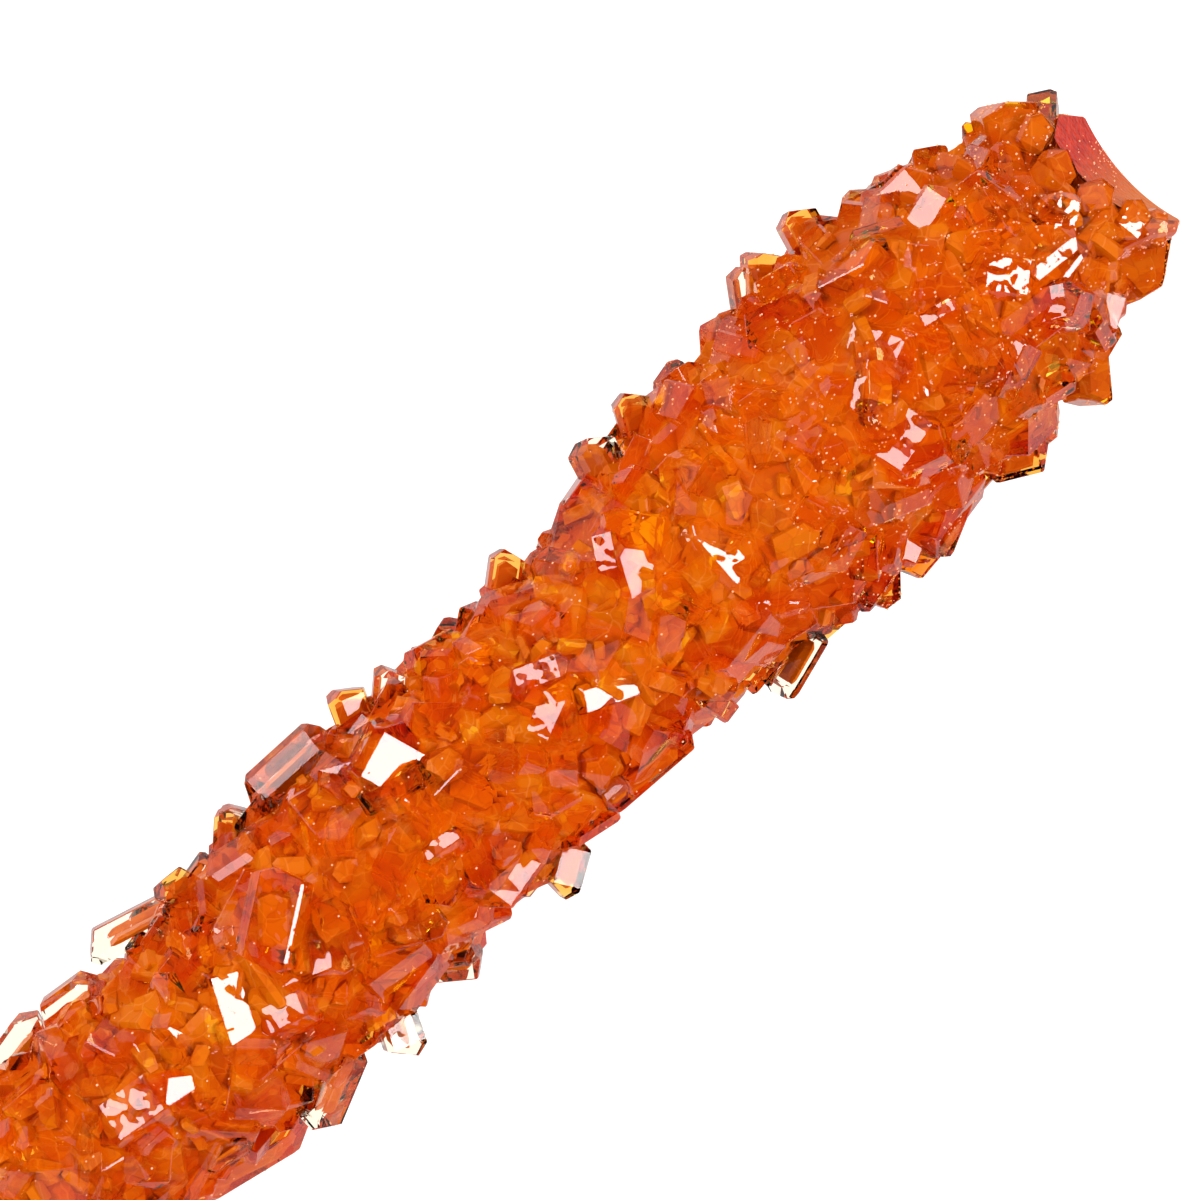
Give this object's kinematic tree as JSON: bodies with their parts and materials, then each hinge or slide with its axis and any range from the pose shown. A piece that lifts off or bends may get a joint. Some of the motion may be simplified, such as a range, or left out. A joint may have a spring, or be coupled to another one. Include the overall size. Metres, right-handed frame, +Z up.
{
  "type": "rock candy stick",
  "caption": "Translucent orange sugar crystals grown in a thick, uneven cluster along a round wooden stick, lying on its side.",
  "frame": {"origin": "on the surface that the candy lies on, under the middle of the box round the whole stick", "axes": "+X along the stick towards the candy's tip, +Z up with the side that the picture shows on top"},
  "size_m": [0.1779, 0.0233, 0.019],
  "materials": {
    "sugar_crystal": "clear orange crystal facets, glossy, packed densely",
    "wood": "bare pale birch dowel, lightly sanded"
  },
  "bodies": {
    "root": {"candy": "sugar_crystal", "stick": "wood"}
  },
  "joints": []
}
